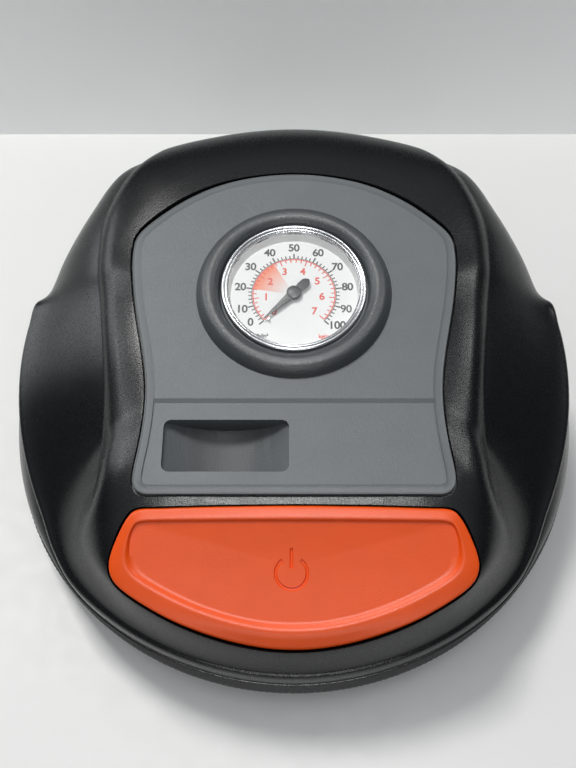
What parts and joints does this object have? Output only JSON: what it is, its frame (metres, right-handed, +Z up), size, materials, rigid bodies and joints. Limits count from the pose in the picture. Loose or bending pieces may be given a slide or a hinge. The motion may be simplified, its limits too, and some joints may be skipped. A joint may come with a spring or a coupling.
{
  "type": "tyre inflator",
  "caption": "Round portable tyre inflator with a tilted grey fascia, round dial pressure gauge, accessory recess, wide orange power button and a braided air hose wound round its base.",
  "frame": {"origin": "centre of the base, on the floor that the rubber feet stand on", "axes": "+Z up; -Y towards the power button and the user; +X to the right of someone facing the gauge"},
  "size_m": [0.192, 0.1939, 0.0796],
  "materials": {
    "black_plastic": "fine spark-eroded grain",
    "grey_plastic": "satin",
    "bezel_plastic": "satin",
    "orange_plastic": "satin",
    "foot_rubber": "matt",
    "soft_rubber": "matt",
    "hose_braid": "braided",
    "screw_steel": "zinc plated",
    "chrome": "polished",
    "lens": "clear",
    "dial_white": "printed satin enamel",
    "brass": "turned",
    "copper": "drawn",
    "case_steel": "pressed",
    "pointer_grey": "satin",
    "ferrite": "ground",
    "carbon": "dull",
    "nylon_white": "satin",
    "fan_plastic": "satin",
    "alloy": "die cast",
    "gasket_fibre": "dull",
    "inner_plastic": "satin"
  },
  "bodies": {
    "inflator": {"upper_housing": "black_plastic", "lower_housing": "black_plastic", "fascia_panel": "grey_plastic", "gauge_bezel_ring": "bezel_plastic", "rubber_feet": "foot_rubber", "housing_screws": "screw_steel", "fascia_screws": "screw_steel", "cable_gland": "soft_rubber", "air_hose": "hose_braid", "hose_ferrules": "screw_steel", "hose_outlet_elbow": "brass", "connector_body": "brass", "connector_seal": "soft_rubber", "gauge_case": "case_steel", "gauge_chrome_ring": "chrome", "gauge_lens": "lens", "gauge_dial": "dial_white", "gauge_stop_pin": "screw_steel", "gauge_movement_frame": "brass", "bourdon_tube": "copper", "gauge_socket": "brass", "gauge_air_tube": "soft_rubber", "motor_can": "case_steel", "motor_end_cap": "inner_plastic", "motor_magnets": "ferrite", "motor_bearings": "brass", "motor_brushes": "carbon", "gearbox_bracket": "alloy", "bracket_grommets": "soft_rubber", "bracket_screws": "screw_steel", "crank_bearing": "screw_steel", "cylinder": "alloy", "cylinder_head": "alloy", "head_gasket": "gasket_fibre", "head_screws": "screw_steel", "valve_spring": "screw_steel", "outlet_tube": "soft_rubber", "button_spring": "screw_steel", "switch_body": "inner_plastic", "switch_terminals": "copper"},
    "button": {"power_button": "orange_plastic"},
    "plunger": {"switch_plunger": "nylon_white"},
    "rotor": {"motor_shaft": "screw_steel", "motor_armature": "copper", "commutator": "copper", "motor_pinion": "screw_steel", "cooling_fan": "fan_plastic"},
    "crank": {"crank_gear": "nylon_white", "crank_shaft": "screw_steel", "crank_pin": "screw_steel"},
    "piston": {"piston": "alloy", "piston_seal": "soft_rubber", "wrist_pin": "screw_steel"},
    "rod": {"connecting_rod": "alloy"},
    "valve": {"outlet_valve": "soft_rubber"},
    "pointer": {"gauge_pointer": "pointer_grey", "pointer_arbor": "brass"},
    "sector": {"sector_gear": "brass"},
    "link": {"tip_link": "screw_steel"},
    "nut": {"connector_nut": "chrome"}
  },
  "joints": [
    {"name": "button_press", "type": "hinge", "parent": "inflator", "child": "button", "pos_m": [0, -0.0556, 0.05407], "axis": [1, 0, 0], "range_deg": [0, 3.6], "stiffness_Nm_per_rad": 0.5, "springref_deg": -5.73, "deforming": ["button_spring"]},
    {"name": "switch_travel", "type": "slide", "parent": "inflator", "child": "plunger", "axis": [0, 0.5, -0.866], "range_m": [0, 0.00146]},
    {"name": "motor_spin", "type": "hinge", "parent": "inflator", "child": "rotor", "pos_m": [-0.03, 0, 0.026], "axis": [0, 1, 0], "continuous": true},
    {"name": "crank_spin", "type": "hinge", "parent": "inflator", "child": "crank", "pos_m": [-0.0084, 0.028, 0.026], "axis": [0, 1, 0], "continuous": true},
    {"name": "piston_stroke", "type": "slide", "parent": "inflator", "child": "piston", "axis": [1, 0, 0], "range_m": [0, 0.013]},
    {"name": "rod_swing", "type": "hinge", "parent": "piston", "child": "rod", "pos_m": [0.0171, 0.04, 0.026], "axis": [0, 1, 0], "range_deg": [-11.7, 11.7]},
    {"name": "outlet_valve_lift", "type": "slide", "parent": "inflator", "child": "valve", "axis": [1, 0, 0], "range_m": [0, 0.001], "stiffness_N_per_m": 60, "springref_m": -0.0012, "deforming": ["valve_spring"]},
    {"name": "pointer_sweep", "type": "hinge", "parent": "inflator", "child": "pointer", "pos_m": [0, 0.011, 0.072], "axis": [0, 0.1219, -0.9925], "range_deg": [0, 270], "stiffness_Nm_per_rad": 0.0005, "springref_deg": -11.46},
    {"name": "sector_swing", "type": "hinge", "parent": "inflator", "child": "sector", "pos_m": [0, 0.02648, 0.0739], "axis": [0, 0.1219, -0.9925], "range_deg": [-40, 0]},
    {"name": "link_swing", "type": "hinge", "parent": "inflator", "child": "link", "pos_m": [-0.01566, 0.00972, 0.05975], "axis": [0, 0.1219, -0.9925], "range_deg": [0, 5.6]},
    {"name": "connector_nut_spin", "type": "hinge", "parent": "inflator", "child": "nut", "pos_m": [-0.01472, 0.08931, 0.0142], "axis": [0.9703, 0.2419, 0], "continuous": true}
  ],
  "couplings": [
    {"joint": "switch_travel", "follows": "button_press", "m_per_rad": 0.023},
    {"joint": "crank_spin", "follows": "motor_spin", "ratio": -0.22727},
    {"joint": "sector_swing", "follows": "pointer_sweep", "ratio": -0.14706},
    {"joint": "link_swing", "follows": "pointer_sweep", "ratio": 0.0204}
  ]
}
